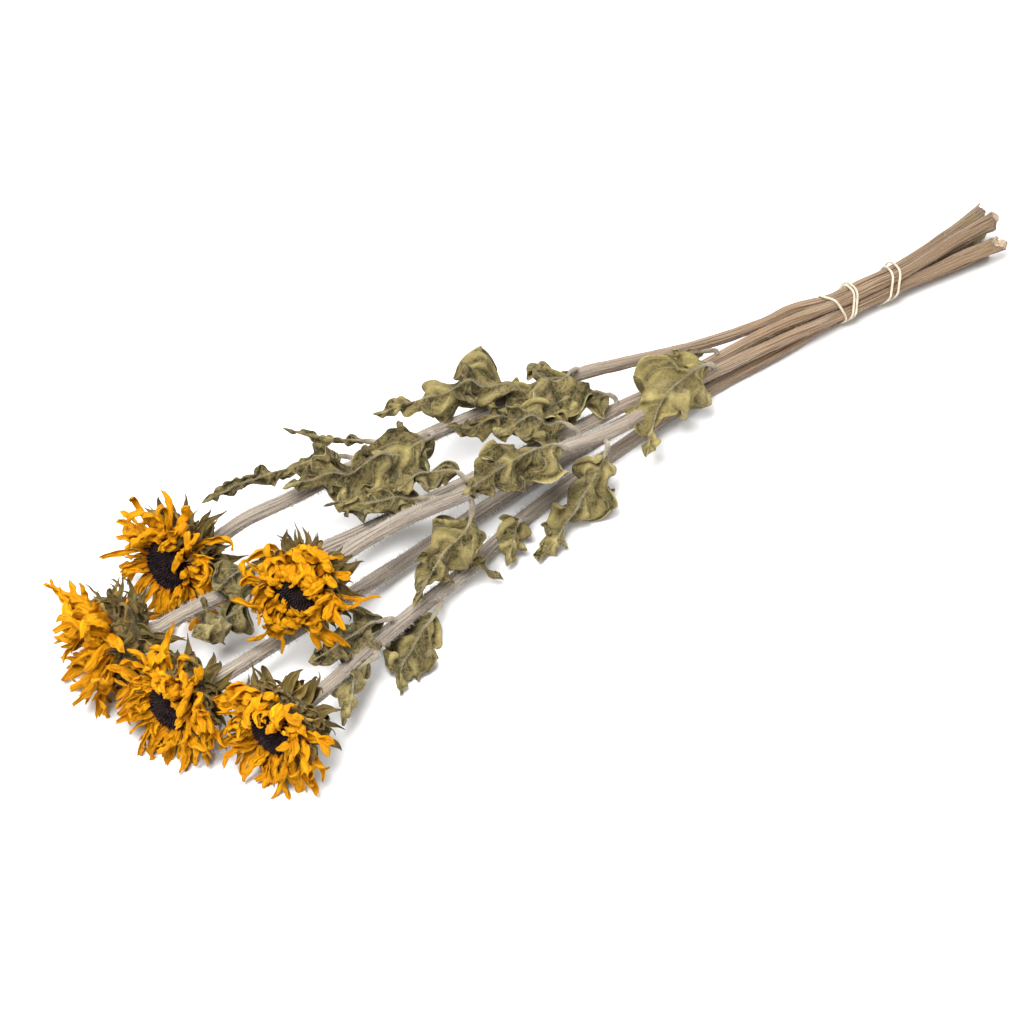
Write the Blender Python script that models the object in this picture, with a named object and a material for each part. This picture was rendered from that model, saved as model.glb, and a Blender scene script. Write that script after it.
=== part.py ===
"""A tied bunch of five dried sunflowers, lying on a flat surface.

Metres, +Z up. The stems run along X: the flower heads are at -X, the cut ends at +X. The origin is
at the bottom centre of the bunch's box, on the surface it lies on. Lengths in the tables below are
millimetres from a point near the middle of the bunch; to_metres() puts them in the part's own frame.
"""

import math

import bpy
from mathutils import Vector

MM = 0.001
BOX_CENTRE = Vector((87.0, 6.3, 0.0))     # the box's centre in the tables' millimetres
GAP = 0.3                                 # clearance between neighbours that touch

# Stems
STEM_RADIUS_CUT = 4.6                     # flared cut end
STEM_RADIUS_TIED = 3.4                    # in the ties
STEM_RADIUS_MIDDLE = 3.9                  # among the leaves
STEM_RADIUS_NECK = 3.8                    # below the flower head
STEM_SPACING = 20.0                       # distance between the points of a stem's curve

# Ties: five stems lie in a ring, and each rubber band runs round the outside of them
TIED_CENTRE = (52.5, 12.6)                # y and z of the bundle's axis where it is tied
TIED_RING = 6.2                           # radius of the circle through the five stem axes
BAND_RADIUS = 0.9
BAND_STEPS = 30                           # points in one turn

# Flower heads, at a petal radius of 34 mm
HEAD_RADIUS = 34.0
CALYX_DEPTH = 22.0                        # from the face of the seed disc to the stem
BRACTS = 12
PETAL_LOBES = 18

# Leaves
LEAF_THICKNESS = 1.0
PETIOLE_RADIUS = 0.9

# name: centre of the disc's face, direction it faces, petal radius, how far forward the petals reach
HEADS = {
    "1": ((-174, 74, 32), (-0.935, -0.252, 0.246), 34.5, 12),
    "2": ((-147.5, -14, 62), (-0.767, -0.530, 0.349), 31.5, 10),
    "3": ((-232, 42, 32.3), (-0.967, 0.242, 0.059), 33.5, 26),
    "4": ((-227, -16, 28.8), (-0.913, -0.307, 0.270), 31.5, 13),
    "5": ((-197.5, -65, 31.2), (-0.934, -0.334, 0.105), 32.0, 13),
}

# name: place in the ring of five (degrees, from +Y towards +Z), points before the ties (cut end),
# points after the ties, up to the neck
STEMS = {
    "1": (44, [(438, 73.5, 14.5), (395, 65, 15)],
          [(262, 63, 17), (235, 61, 19), (187, 62, 24), (131, 70, 30), (91, 74, 34), (-2, 74, 38),
           (-60, 74, 40), (-98, 72, 40), (-124, 76, 36)]),
    "2": (188, [(424, 37, 17), (387, 42.5, 15)],
          [(235, 43, 17), (168, 39, 21), (96, 25, 28), (50, 21, 36), (-18, 12, 46), (-60, 10, 51),
           (-92, 8, 51)]),
    "3": (116, [(435, 55.5, 21), (392, 53, 20.5)],
          [(235, 52, 20), (174, 51, 17), (100, 47, 20), (20, 43, 23), (-60, 39, 26),
           (-130, 36, 31), (-190, 33, 34)]),
    "4": (332, [(430, 65, 5.5), (390, 59.5, 6)],
          [(235, 56, 6), (174, 54, 4.6), (100, 48, 4.9), (20, 36, 6.5), (-60, 20, 11), (-130, 4, 18),
           (-180, -7, 23)]),
    "5": (260, [(420, 50.5, 6), (385, 49, 6)],
          [(235, 46, 6), (174, 43, 4.6), (100, 32, 4.9), (22, 16, 5.2), (-36, -5, 9), (-84, -22, 16),
           (-122, -37, 23), (-150, -50, 28)]),
}

# name: stem, x where the petiole leaves it, direction it leaves in, points along the midrib after
# that, the direction the blade's upper side faces, half width, fold (degrees each half drops)
LEAVES = {
    "leaf_01": ("1", 100, (0, -0.3, 1), [(94, 68, 43), (76, 61, 48), (26, 74, 60), (-26, 93, 53)],
                (0, -0.3, 1), 17, 15),
    "leaf_02": ("3", 112, (0, 0.2, 1), [(106, 50, 32), (90, 52, 38), (45, 55, 42), (3, 66, 46)],
                (0, -0.3, 1), 12, 10),
    "leaf_03": ("2", 177, (0, -0.3, 1), [(171, 37, 32), (151, 31, 37), (124, 23, 33), (99, 4, 21)],
                (-0.4, -0.6, 0.7), 18, 15),
    "leaf_04": ("1", -50, (0, 1, 0.1), [(-62, 88, 42), (-100, 102, 37), (-129, 109, 29)],
                (0, -0.5, 1), 7, 15),
    "leaf_05": ("1", -34, (0, 0.5, 1), [(-42, 82, 48), (-60, 95, 51), (-77, 110, 56)],
                (0, -0.5, 1), 4, 20),
    "leaf_06": ("1", -5, (0, -0.6, 0.8), [(-14, 60, 49), (-66, 55, 58), (-100, 68, 53)],
                (0, -0.3, 1), 14, 15),
    "leaf_07": ("2", -20, (0, 0.4, 0.9), [(-26, 20, 60), (-42, 26, 62), (-58, 28, 54)],
                (0.3, -0.2, 1), 8, 40),
    "leaf_08": ("2", 48, (0, -0.7, 0.7), [(36, 14, 51), (8, 8, 57), (-26, 2, 57)],
                (0, -0.6, 0.8), 10, 10),
    "leaf_09": ("2", 64, (0, 0.5, 0.9), [(56, 30, 48), (38, 33, 56), (16, 34, 57)],
                (0, -0.3, 1), 11, 15),
    "leaf_10": ("2", 80, (0, -0.8, -0.2), [(73, 10, 28), (50, -3, 22), (25, -12, 12), (6, -18, 4)],
                (-0.3, -0.7, 0.6), 12, 10),
    "leaf_11": ("5", 82, (0, -1, 0.2), [(76, 14, 9), (68, 2, 6), (62, -5, 2)],
                (0, 0, 1), 4, 0),
    "leaf_12": ("2", -22, (0, -0.8, -0.6), [(-34, -5, 39), (-57, -13, 36), (-84, -27, 27)],
                (-0.3, -0.7, 0.6), 9, 10),
    "leaf_13": ("5", -40, (0, 0, 1), [(-36, -10, 20), (-28, -16, 15), (-22, -22, 7)],
                (0.5, -0.3, 0.8), 4, 20),
    "leaf_14": ("5", -66, (0, -1, 0.2), [(-81, -31, 11), (-100, -40, 8), (-114, -55, 3)],
                (0, 0.1, 1), 14, 4),
    "leaf_15": ("5", -122, (0, -1, 0), [(-133, -52, 24), (-147, -64, 19), (-158, -76, 9)],
                (0.3, -0.6, 0.7), 8, 30),
    "leaf_16": ("2", -40, (0, 1, 0), [(-52, 26, 48), (-70, 42, 45), (-86, 50, 43)],
                (0, -0.3, 1), 7, 10),
    "leaf_17": ("5", 15, (0, -0.8, 0.6), [(8, 4, 14), (-3, -6, 14), (-12, -13, 6)],
                (0, -0.4, 0.9), 6, 15),
    "leaf_18": ("3", -150, (0, -1, 0), [(-160, 22, 32), (-176, 17, 34), (-191, 18, 32)],
                (0, -0.5, 0.8), 7, 20),
    "leaf_19": ("3", -134, (0, 0.4, 0.9), [(-142, 38, 41), (-156, 34, 44), (-170, 29, 44)],
                (0, -0.5, 0.8), 6, 20),
    "leaf_20": ("5", -100, (0, 0, 1), [(-109, -31, 31), (-125, -38, 35), (-144, -44, 34)],
                (-0.2, -0.5, 0.9), 11, 15),
    "leaf_21": ("3", 192, (0, 0.1, 1), [(186, 54, 25), (176, 56, 27), (165, 57, 27)],
                (0, -0.4, 0.9), 4, 15),
}

# band: x of its first turn, turns, distance between them, how far its last turn strays from the
# others towards the heads, how far its upper far side leans towards the cut ends
BANDS = {
    "rubber_band_end": (337.2, 2, 6.2, 0.0, 4.6),
    "rubber_band_inner": (300.5, 3, 2.6, 19.0, 4.4),
}


def to_metres(point):
    """A place in the tables' millimetres, in the part's own frame."""
    return (Vector(point) - BOX_CENTRE) * MM


def clear_scene():
    for obj in list(bpy.data.objects):
        bpy.data.objects.remove(obj, do_unlink=True)


def make_material(name, colour, roughness):
    """A plain Principled material; nothing on a dried flower is metal."""
    material = bpy.data.materials.new(name)
    material.use_nodes = True
    shader = material.node_tree.nodes["Principled BSDF"]
    shader.inputs["Base Color"].default_value = (*colour, 1.0)
    shader.inputs["Roughness"].default_value = roughness
    shader.inputs["Metallic"].default_value = 0.0
    return material


def add_object(name, data, material):
    obj = bpy.data.objects.new(name, data)
    data.materials.append(material)
    bpy.context.scene.collection.objects.link(obj)
    return obj


def smooth_route(points, spacing):
    """Points about `spacing` apart on a Catmull-Rom curve through the given ones."""
    points = [Vector(p) for p in points]
    padded = [2 * points[0] - points[1], *points, 2 * points[-1] - points[-2]]
    route = []
    for a, b, c, d in zip(padded, padded[1:], padded[2:], padded[3:]):
        steps = max(1, round((c - b).length / spacing))
        for k in range(steps):
            t = k / steps
            route.append(0.5 * (2 * b + (c - a) * t + (2 * a - 5 * b + 4 * c - d) * t * t
                                + (3 * b - a - 3 * c + d) * t ** 3))
    return route + [points[-1]]


def blend(low, high, t):
    """Eases from low to high as t goes from 0 to 1."""
    t = min(1.0, max(0.0, t))
    return low + (high - low) * t * t * (3 - 2 * t)


# ---------------------------------------------------------------------------------------- stems

def ring_place(degrees):
    """y and z of a stem's axis inside the ties."""
    angle = math.radians(degrees)
    return (TIED_CENTRE[0] + TIED_RING * math.cos(angle),
            TIED_CENTRE[1] + TIED_RING * math.sin(angle))


def stem_radius(x):
    """A stem is flared where it was cut, and thins towards its flower."""
    if x > 300:
        return blend(STEM_RADIUS_TIED, STEM_RADIUS_CUT, (x - 345) / 80)
    if x > 60:
        return blend(STEM_RADIUS_MIDDLE, STEM_RADIUS_TIED, (x - 70) / 100)
    return blend(STEM_RADIUS_NECK, STEM_RADIUS_MIDDLE, (x + 160) / 120)


def head_placing(head):
    """Centre, facing direction and size factor of a flower head."""
    centre, facing, petal_radius, _ = HEADS[head]
    return Vector(centre), Vector(facing).normalized(), petal_radius / HEAD_RADIUS


def stem_route(stem):
    """A stem's axis from its cut end, through the ties, to the back of its calyx."""
    place, cut_end, rest = STEMS[stem]
    y, z = ring_place(place)
    tied = [(x, y, z) for x in (345, 318, 290)]
    centre, facing, size = head_placing(stem)
    top = centre - facing * (CALYX_DEPTH * size + GAP)
    return smooth_route([*cut_end, *tied, *rest, top - facing * 9, top], STEM_SPACING)


def make_stem(stem, material):
    route = stem_route(stem)
    curve = bpy.data.curves.new(f"stem_{stem}", "CURVE")
    curve.dimensions = "3D"
    curve.bevel_depth = MM
    curve.bevel_resolution = 2
    curve.use_fill_caps = True
    curve.render_resolution_u = 0
    spline = curve.splines.new("POLY")
    spline.points.add(len(route) - 1)
    for knot, place in zip(spline.points, route):
        knot.co = (*to_metres(place), 1.0)
        knot.radius = stem_radius(place.x)
    return add_object(f"stem_{stem}", curve, material)


def stem_surface(stem, x, direction):
    """The point on a stem's skin at x that lies in a direction from its axis, and its outward way."""
    route = stem_route(stem)
    before, after = next(pair for pair in zip(route, route[1:]) if pair[0].x >= x > pair[1].x)
    axis_point = before.lerp(after, (x - before.x) / (after.x - before.x))
    along = (after - before).normalized()
    outward = Vector(direction)
    outward = (outward - along * outward.dot(along)).normalized()
    return axis_point + outward * (stem_radius(x) + GAP), outward


# ---------------------------------------------------------------------------------------- ties

def bundle_reach(angle, x, routes):
    """Distance from the bundle's axis to a band pulled tight round the five stems at x."""
    sections = []
    for route in routes:
        before, after = next(pair for pair in zip(route, route[1:]) if pair[0].x >= x > pair[1].x)
        place = before.lerp(after, (before.x - x) / (before.x - after.x))
        sections.append((place.y - TIED_CENTRE[0], place.z - TIED_CENTRE[1]))
    reach = stem_radius(x) + GAP + BAND_RADIUS
    nearest = []
    for k in range(-40, 41):
        normal = angle + math.radians(2 * k)
        support = max(y * math.cos(normal) + z * math.sin(normal) for y, z in sections) + reach
        nearest.append(support / math.cos(normal - angle))
    return min(nearest)


def make_band(name, material):
    """A rubber band wound round the stems: its last turn crosses over the others, on the far side,
    back to where the first one starts."""
    first_x, turns, pitch, stray, lean = BANDS[name]
    routes = [stem_route(stem) for stem in STEMS]
    crossing = math.radians(130)
    crossing_middle = math.radians(-5)
    whole = 2 * math.pi * turns
    last_x = first_x - pitch * (whole - crossing) / (2 * math.pi)
    points = []
    for k in range(BAND_STEPS * turns):
        turned = whole * k / (BAND_STEPS * turns)
        angle = crossing_middle + crossing / 2 + turned
        share = (turned - (whole - crossing)) / crossing
        x = first_x - pitch * turned / (2 * math.pi)
        lift = 0.0
        if share > 0:
            x = blend(last_x, first_x, (share - 0.3) / 0.4)
            lift = 2 * BAND_RADIUS + 2 * GAP
            lift = blend(0.0, lift, share / 0.3) * blend(1.0, 0.0, (share - 0.7) / 0.3)
        last_turn = math.degrees(turned - (whole - 2 * math.pi))
        slack = blend(0.0, 1.0, (last_turn + 110) / 110) * blend(1.0, 0.0, (last_turn + 25) / 200)
        x += lean * math.cos(angle - math.radians(45)) - stray * slack
        reach = bundle_reach(angle, x, routes) + lift
        points.append((x, TIED_CENTRE[0] + reach * math.cos(angle),
                       TIED_CENTRE[1] + reach * math.sin(angle)))
    curve = bpy.data.curves.new(name, "CURVE")
    curve.dimensions = "3D"
    curve.bevel_depth = BAND_RADIUS * MM
    curve.bevel_resolution = 1
    curve.render_resolution_u = 0
    spline = curve.splines.new("POLY")
    spline.use_cyclic_u = True
    spline.points.add(len(points) - 1)
    for knot, place in zip(spline.points, points):
        knot.co = (*to_metres(place), 1.0)
    return add_object(name, curve, material)


# ---------------------------------------------------------------------------------------- heads

def head_point(head, angle, radius, height):
    """A point round a head's axis, in millimetres at the standard head size."""
    centre, facing, size = head_placing(head)
    side = facing.cross(Vector((0, 0, 1))).normalized()
    top = side.cross(facing)
    out = side * math.cos(angle) + top * math.sin(angle)
    return to_metres(centre + (out * radius + facing * height) * size)


def turned_solid(name, head, steps, profile, closed_ring, material):
    """A solid of revolution about a head's axis. profile(step) gives (radius, height) pairs: from
    the axis at the back to the axis at the front, or round a ring's section."""
    verts = []
    faces = []
    count = len(profile(0))
    for step in range(steps):
        angle = 2 * math.pi * step / steps
        verts += [head_point(head, angle, radius, height) for radius, height in profile(step)]
    pairs = count if closed_ring else count - 1
    for step in range(steps):
        here = step * count
        there = (step + 1) % steps * count
        for k in range(pairs):
            following = (k + 1) % count
            faces.append((here + k, here + following, there + following, there + k))
    if not closed_ring:
        faces.append([step * count for step in range(steps)])
        faces.append([step * count + count - 1 for step in reversed(range(steps))])
    mesh = bpy.data.meshes.new(name)
    mesh.from_pydata(verts, [], faces)
    mesh.shade_smooth()
    return add_object(name, mesh, material)


def make_seed_disc(head, material):
    profile = [(8, -5.3), (12.5, -5.3), (14, -3), (14, 0), (11, 2.4), (5, 3.8)]
    return turned_solid(f"seed_disc_{head}", head, 16, lambda step: profile, False, material)


def make_calyx(head, material):
    """The receptacle behind the disc, and the pointed bracts round its rim."""
    def profile(step):
        tip = (29, -5.5) if step % 2 else (22, -6.5)
        return [(5, -22), (10, -20), (17, -14.5), (21, -9.5), tip, (20, -5.6), (9, -5.6)]
    return turned_solid(f"calyx_{head}", head, 2 * BRACTS, profile, False, material)


def make_petals(head, material):
    """The crown of ray petals, as one lobed funnel, seated between the disc and the bracts."""
    forward = HEADS[head][3]

    def profile(step):
        reach = 34 if step % 2 else 30
        return [(14.4, -5.3), (20, -5.2), (reach, forward - 6), (reach - 1, forward),
                (24, 0.7 * forward + 3), (16.5, 8), (14.4, 2)]
    return turned_solid(f"ray_petals_{head}", head, 2 * PETAL_LOBES, profile, True, material)


# ---------------------------------------------------------------------------------------- leaves

def make_leaf(name, material):
    """A dried leaf: a round petiole that leaves the stem, and a thin blade folded down its midrib,
    widest a third of the way along and pointed at its tip."""
    stem, x, direction, midrib, upper_side, half_width, fold = LEAVES[name]
    start, outward = stem_surface(stem, x, direction)
    petiole_end = 2
    route = smooth_route([start, start + outward * 2.5, *midrib], 14.0)
    blade_steps = len(route) - 1 - petiole_end
    fold = math.radians(fold)
    verts = []
    for k, place in enumerate(route):
        along = (route[min(k + 1, len(route) - 1)] - route[max(k - 1, 0)]).normalized()
        upper = Vector(upper_side)
        if k < petiole_end:
            upper = Vector(upper_side) if abs(along.dot(Vector(upper_side))) < 0.8 else Vector((1, 0, 0))
        upper = (upper - along * upper.dot(along)).normalized()
        side = along.cross(upper)
        share = max(0.0, (k - petiole_end) / blade_steps)
        width = half_width * math.sin(math.pi * share ** 0.7) ** 0.8 if 0 < share < 1 else 0.0
        width = max(width, PETIOLE_RADIUS)
        thick = LEAF_THICKNESS / 2 if share > 0 else PETIOLE_RADIUS
        for across in (-1.0, -0.5, 0.0, 0.5, 1.0):
            drop = abs(across) * width * math.sin(fold)
            edge = 0.0 if abs(across) == 1 else thick
            verts.append(place + side * across * width * math.cos(fold) + upper * (edge - drop))
        for across in (0.5, 0.0, -0.5):
            drop = abs(across) * width * math.sin(fold)
            verts.append(place + side * across * width * math.cos(fold) - upper * (thick + drop))
    ring = 8
    faces = []
    for k in range(len(route) - 1):
        for j in range(ring):
            following = (j + 1) % ring
            faces.append((k * ring + j, k * ring + following,
                          (k + 1) * ring + following, (k + 1) * ring + j))
    faces.append(tuple(reversed(range(ring))))
    faces.append(tuple(range((len(route) - 1) * ring, len(route) * ring)))
    mesh = bpy.data.meshes.new(name)
    mesh.from_pydata([to_metres(v) for v in verts], [], faces)
    mesh.shade_smooth()
    return add_object(name, mesh, material)


def build():
    clear_scene()
    stem_skin = make_material("dried_stem", (0.30, 0.21, 0.14), 0.85)
    petal = make_material("dried_petal", (0.90, 0.36, 0.01), 0.65)
    seeds = make_material("seed_disc", (0.022, 0.013, 0.015), 0.85)
    bracts = make_material("calyx", (0.19, 0.17, 0.09), 0.9)
    leaf = make_material("dried_leaf", (0.23, 0.22, 0.10), 0.85)
    rubber = make_material("natural_rubber", (0.80, 0.68, 0.50), 0.6)
    for name in STEMS:
        make_stem(name, stem_skin)
    for head in HEADS:
        make_calyx(head, bracts)
        make_seed_disc(head, seeds)
        make_petals(head, petal)
    for name in LEAVES:
        make_leaf(name, leaf)
    for name in BANDS:
        make_band(name, rubber)


build()
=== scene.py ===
"""A tied bunch of five dried sunflowers, lying on a pale floor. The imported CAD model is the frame."""

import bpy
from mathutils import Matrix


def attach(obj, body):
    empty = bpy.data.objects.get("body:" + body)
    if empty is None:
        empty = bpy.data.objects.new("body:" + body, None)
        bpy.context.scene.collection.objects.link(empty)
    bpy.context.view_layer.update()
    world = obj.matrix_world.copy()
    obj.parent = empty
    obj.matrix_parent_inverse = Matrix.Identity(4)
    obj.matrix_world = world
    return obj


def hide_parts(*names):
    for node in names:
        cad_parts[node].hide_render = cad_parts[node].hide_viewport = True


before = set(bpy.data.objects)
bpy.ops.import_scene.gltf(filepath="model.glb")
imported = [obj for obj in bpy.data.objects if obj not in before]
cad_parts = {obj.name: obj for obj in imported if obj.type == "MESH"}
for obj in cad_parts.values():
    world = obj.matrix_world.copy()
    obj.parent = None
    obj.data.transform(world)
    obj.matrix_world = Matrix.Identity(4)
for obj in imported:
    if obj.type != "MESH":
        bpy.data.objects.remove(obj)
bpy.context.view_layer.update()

import math
import random

import bmesh
import bpy
from mathutils import Matrix, Vector, noise

# ------------------------------------------------------------------------------------ camera
# The camera looks down on the bunch from the heads' side, so that the stems run away to the upper
# right. Places in this script are millimetres from a point near the middle of the bunch, as in the
# CAD model, and metres() puts them in the frame.

BOX_CENTRE = Vector((87.0, 6.3, 0.0))
CAMERA_AIM = (0, 0, 30)
CAMERA_TURN = math.radians(-37)
CAMERA_RISE = math.radians(40)
CAMERA_DISTANCE = 1.4
CAMERA_LENS = 90


def metres(point):
    return (Vector(point) - BOX_CENTRE) * 0.001


back = Vector((math.sin(CAMERA_TURN) * math.cos(CAMERA_RISE),
               -math.cos(CAMERA_TURN) * math.cos(CAMERA_RISE), math.sin(CAMERA_RISE)))
camera_data = bpy.data.cameras.new("camera")
camera_data.lens = CAMERA_LENS
camera_data.sensor_width = 36
camera_data.clip_start = 0.05
camera = bpy.data.objects.new("camera", camera_data)
camera.location = metres(CAMERA_AIM) + back * CAMERA_DISTANCE
camera.rotation_euler = back.to_track_quat("Z", "Y").to_euler()
bpy.context.scene.collection.objects.link(camera)
bpy.context.scene.camera = camera
bpy.context.scene.view_settings.view_transform = "Standard"

# ------------------------------------------------------------------------------------- stems
# Five cut stems, woody and ridged lengthwise, brown near the ties and grey with hairs towards the
# flower. Each was cut at its thick end, where the dry rim has split and the pale pith shows.

HEADS = {
    "1": {"centre": (-174, 74, 32), "facing": (-0.935, -0.252, 0.246), "size": 34.5 / 34},
    "2": {"centre": (-147.5, -14, 62), "facing": (-0.767, -0.530, 0.349), "size": 31.5 / 34},
    "3": {"centre": (-232, 42, 32.3), "facing": (-0.967, 0.242, 0.059), "size": 33.5 / 34},
    "4": {"centre": (-227, -16, 28.8), "facing": (-0.913, -0.307, 0.270), "size": 31.5 / 34},
    "5": {"centre": (-197.5, -65, 31.2), "facing": (-0.934, -0.334, 0.105), "size": 32.0 / 34},
}
STEMS = {
    "1": {"tied_at": 44, "cut_end": [(438, 73.5, 14.5), (395, 65, 15)],
          "rest": [(262, 63, 17), (235, 61, 19), (187, 62, 24), (131, 70, 30), (91, 74, 34),
                   (-2, 74, 38), (-60, 74, 40), (-98, 72, 40), (-124, 76, 36)]},
    "2": {"tied_at": 188, "cut_end": [(424, 37, 17), (387, 42.5, 15)],
          "rest": [(235, 43, 17), (168, 39, 21), (96, 25, 28), (50, 21, 36), (-18, 12, 46),
                   (-60, 10, 51), (-92, 8, 51)]},
    "3": {"tied_at": 116, "cut_end": [(435, 55.5, 21), (392, 53, 20.5)],
          "rest": [(235, 52, 20), (174, 51, 17), (100, 47, 20), (20, 43, 23), (-60, 39, 26),
                   (-130, 36, 31), (-190, 33, 34)]},
    "4": {"tied_at": 332, "cut_end": [(430, 65, 5.5), (390, 59.5, 6)],
          "rest": [(235, 56, 6), (174, 54, 4.6), (100, 48, 4.9), (20, 36, 6.5), (-60, 20, 11),
                   (-130, 4, 18), (-180, -7, 23)]},
    "5": {"tied_at": 260, "cut_end": [(420, 50.5, 6), (385, 49, 6)],
          "rest": [(235, 46, 6), (174, 43, 4.6), (100, 32, 4.9), (22, 16, 5.2), (-36, -5, 9),
                   (-84, -22, 16), (-122, -37, 23), (-150, -50, 28)]},
}
BUNDLE_AXIS = (52.5, 12.6)          # y and z where the stems are tied
BUNDLE_RING = 6.2                   # radius of the circle through the five stems' axes
CALYX_DEPTH = 22.0                  # from a disc's face back to the stem
TIED_X = (345, 318, 290)            # where each stem's route passes the ties
STEM_RADIUS_CUT = 4.6
STEM_RADIUS_TIED = 3.4
STEM_RADIUS_MIDDLE = 3.9
STEM_RADIUS_NECK = 3.8
STEM_SIDES = 44
STEM_RIDGES = 11
STEM_STEP = 5.0
RIDGE_HEIGHT = 0.07                 # of the stem's radius
BUMP_HEIGHT = 0.11
# a stem's cut: how steep it slants, and the angle round the stem where it is cut shortest, degrees
STEM_CUTS = {"1": (0.6, 200), "2": (1.4, 130), "3": (1.3, 142), "4": (0.4, 90), "5": (0.7, 125)}
CUT_REACH = 36.0                    # how far from the cut its slant, split and tears fade out
FLARE_REACH = 30.0                  # how far from the cut the stem widens
RIM_TEARS = 1.8
RIM_SPLIT = 5.0
RIM_DEPTH = 1.6                     # how deep the pith lies in a cut end
PITH_RINGS = 3                      # a point in the middle of the pith, its edge and the rim's inside
PITH_RADII = (0.0, 0.70, 0.82)      # of the stem's radius
PITH_DEPTHS = (RIM_DEPTH, RIM_DEPTH, 0.0)
STEM_FLOOR_GAP = 0.05
FLOOR_GAP = 0.4                     # the lowest that a thin piece's middle goes


def ease(low, high, t):
    t = min(1.0, max(0.0, t))
    return low + (high - low) * t * t * (3 - 2 * t)


def smooth_route(points, spacing):
    """Points about `spacing` apart on a Catmull-Rom curve through the given ones."""
    points = [Vector(p) for p in points]
    padded = [2 * points[0] - points[1], *points, 2 * points[-1] - points[-2]]
    route = []
    for a, b, c, d in zip(padded, padded[1:], padded[2:], padded[3:]):
        steps = max(1, round((c - b).length / spacing))
        for k in range(steps):
            t = k / steps
            route.append(0.5 * (2 * b + (c - a) * t + (2 * a - 5 * b + 4 * c - d) * t * t
                                + (3 * b - a - 3 * c + d) * t ** 3))
    return route + [points[-1]]


def above_floor(point, gap=FLOOR_GAP):
    return Vector((point.x, point.y, max(point.z, gap)))


def head_axes(head):
    """Centre, facing direction, sideways and upward directions of a flower head."""
    facing = Vector(HEADS[head]["facing"]).normalized()
    side = facing.cross(Vector((0, 0, 1))).normalized()
    return Vector(HEADS[head]["centre"]), facing, side, side.cross(facing)


def stem_route(stem, spacing):
    angle = math.radians(STEMS[stem]["tied_at"])
    y = BUNDLE_AXIS[0] + BUNDLE_RING * math.cos(angle)
    z = BUNDLE_AXIS[1] + BUNDLE_RING * math.sin(angle)
    centre, facing, _, _ = head_axes(stem)
    top = centre - facing * (CALYX_DEPTH * HEADS[stem]["size"] - 1.5)
    return smooth_route([*STEMS[stem]["cut_end"], *[(x, y, z) for x in TIED_X],
                         *STEMS[stem]["rest"], top - facing * 10, top], spacing)


def stem_radius(x):
    if x > 300:
        return ease(STEM_RADIUS_TIED, STEM_RADIUS_CUT, (x - 345) / 80)
    if x > 60:
        return ease(STEM_RADIUS_MIDDLE, STEM_RADIUS_TIED, (x - 70) / 100)
    return ease(STEM_RADIUS_NECK, STEM_RADIUS_MIDDLE, (x + 160) / 120)


def directions(route, k):
    """Along, and two directions square to it, at a point of a route."""
    along = (route[min(k + 1, len(route) - 1)] - route[max(k - 1, 0)]).normalized()
    side = along.cross(Vector((0, 0, 1))).normalized()
    return along, side, side.cross(along)


def roll_tube(bm, rings, sides, place, travelled, pith_rings=0):
    """Rolls a grid into a tube: place(k, angle) is a point of ring k in millimetres, travelled(k) its
    distance along. The grain layer runs round and along the tube, for materials that follow it. The
    first few rings' faces may be pith."""
    grain = bm.verts.layers.float_vector.get("grain") or bm.verts.layers.float_vector.new("grain")
    grid = bmesh.ops.create_grid(bm, x_segments=sides, y_segments=rings - 1, size=1.0)["verts"]
    ring_of = {}
    for vert in grid:
        angle = math.pi * (vert.co.x + 1)
        k = round((vert.co.y + 1) / 2 * (rings - 1))
        vert.co = metres(place(k, angle))
        vert[grain] = (math.cos(angle), math.sin(angle), travelled(k) * 0.001)
        ring_of[vert] = k
    bmesh.ops.remove_doubles(bm, verts=grid, dist=1e-6)
    grid = [vert for vert in grid if vert.is_valid]
    open_edges = {edge for vert in grid for edge in vert.link_edges if edge.is_boundary}
    bmesh.ops.holes_fill(bm, edges=list(open_edges), sides=0)
    faces = {face for vert in grid for face in vert.link_faces}
    bmesh.ops.recalc_face_normals(bm, faces=list(faces))
    for face in faces:
        face.smooth = True
        if all(ring_of[vert] < pith_rings for vert in face.verts):
            face.material_index = 1
    return grid


def finish_piece(name, bm, materials, nodes):
    """Turns a bmesh into a piece that rides with the bunch and stands for CAD nodes."""
    mesh = bpy.data.meshes.new(name)
    bm.to_mesh(mesh)
    bm.free()
    for material in materials:
        mesh.materials.append(material)
    piece = bpy.data.objects.new(name, mesh)
    bpy.context.scene.collection.objects.link(piece)
    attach(piece, "root")
    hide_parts(*nodes)
    return piece


def new_material(name, roughness, sheen=0.0):
    material = bpy.data.materials.new(name)
    material.use_nodes = True
    shader = material.node_tree.nodes["Principled BSDF"]
    shader.inputs["Roughness"].default_value = roughness
    shader.inputs["Sheen Weight"].default_value = sheen
    shader.inputs["Sheen Roughness"].default_value = 0.6
    shader.inputs["Specular IOR Level"].default_value = 0.12
    return material, material.node_tree, shader


def add_node(tree, kind, settings=None, **inputs):
    """Adds a node; an input is a value or another node's output."""
    node = tree.nodes.new(kind)
    for key, value in (settings or {}).items():
        setattr(node, key, value)
    for key, value in inputs.items():
        socket = node.inputs[int(key[1:])] if key[0] == "i" and key[1:].isdigit() else node.inputs[key]
        if isinstance(value, bpy.types.NodeSocket):
            tree.links.new(value, socket)
        else:
            socket.default_value = value
    return node


def mix_colours(tree, mask, low, high):
    """Low where the mask is 0, high where it is 1. Each is a colour or a colour output."""
    low, high = [c if isinstance(c, bpy.types.NodeSocket) else (*c, 1.0) for c in (low, high)]
    node = add_node(tree, "ShaderNodeMix", {"data_type": "RGBA"}, i0=mask, i6=low, i7=high)
    return node.outputs[2]


def attribute(tree, name, output="Fac"):
    return add_node(tree, "ShaderNodeAttribute", {"attribute_name": name}).outputs[output]


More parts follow.
